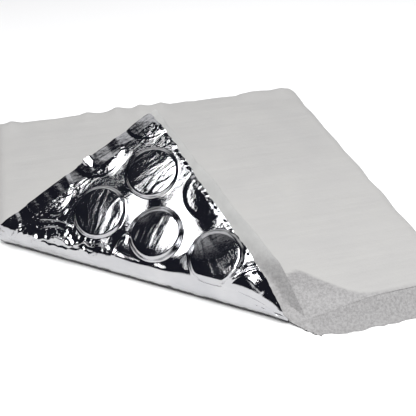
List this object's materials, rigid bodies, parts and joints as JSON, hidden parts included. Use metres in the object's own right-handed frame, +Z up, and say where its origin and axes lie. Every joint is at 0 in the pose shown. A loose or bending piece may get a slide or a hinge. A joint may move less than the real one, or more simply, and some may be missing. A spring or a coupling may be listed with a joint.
{
  "type": "sleeping pad",
  "caption": "Nearly square laminated air-cell pad: matte facing over foam, large round air cells under metallised film, one corner folded up along a diagonal.",
  "frame": {"origin": "centre of the flat crown of the cell nearest the pad's middle, on the underside", "axes": "+X along the near edge, +Y from the near edge towards the far edge, +Z up through the facing"},
  "size_m": [0.2673, 0.2854, 0.0827],
  "materials": {
    "facing": "matte",
    "strip": "grainy matte",
    "foam": "matte",
    "clear_film": "gloss",
    "foil": "mirror, crinkled",
    "weld": "satin"
  },
  "bodies": {
    "pad": {"facing_sheet": "facing", "foam_sheet": "foam", "cell_base_film": "clear_film", "cell_film": "clear_film", "foil_skin": "foil", "left_edge_seal": "foil", "right_edge_seal": "weld", "far_edge_seal": "weld", "near_edge_strip": "strip"},
    "corner": {"corner_facing_sheet": "facing", "corner_foam_sheet": "foam", "corner_cell_base_film": "clear_film", "corner_cell_film": "clear_film", "corner_foil_skin": "foil", "corner_left_edge_seal": "foil", "corner_near_edge_strip": "strip"}
  },
  "joints": [
    {"name": "corner_fold", "type": "hinge", "parent": "pad", "child": "corner", "pos_m": [0.02948, -0.1295, 0.01215], "axis": [-0.8, 0.6, 0], "range_deg": [-144.5, 33.5]}
  ]
}
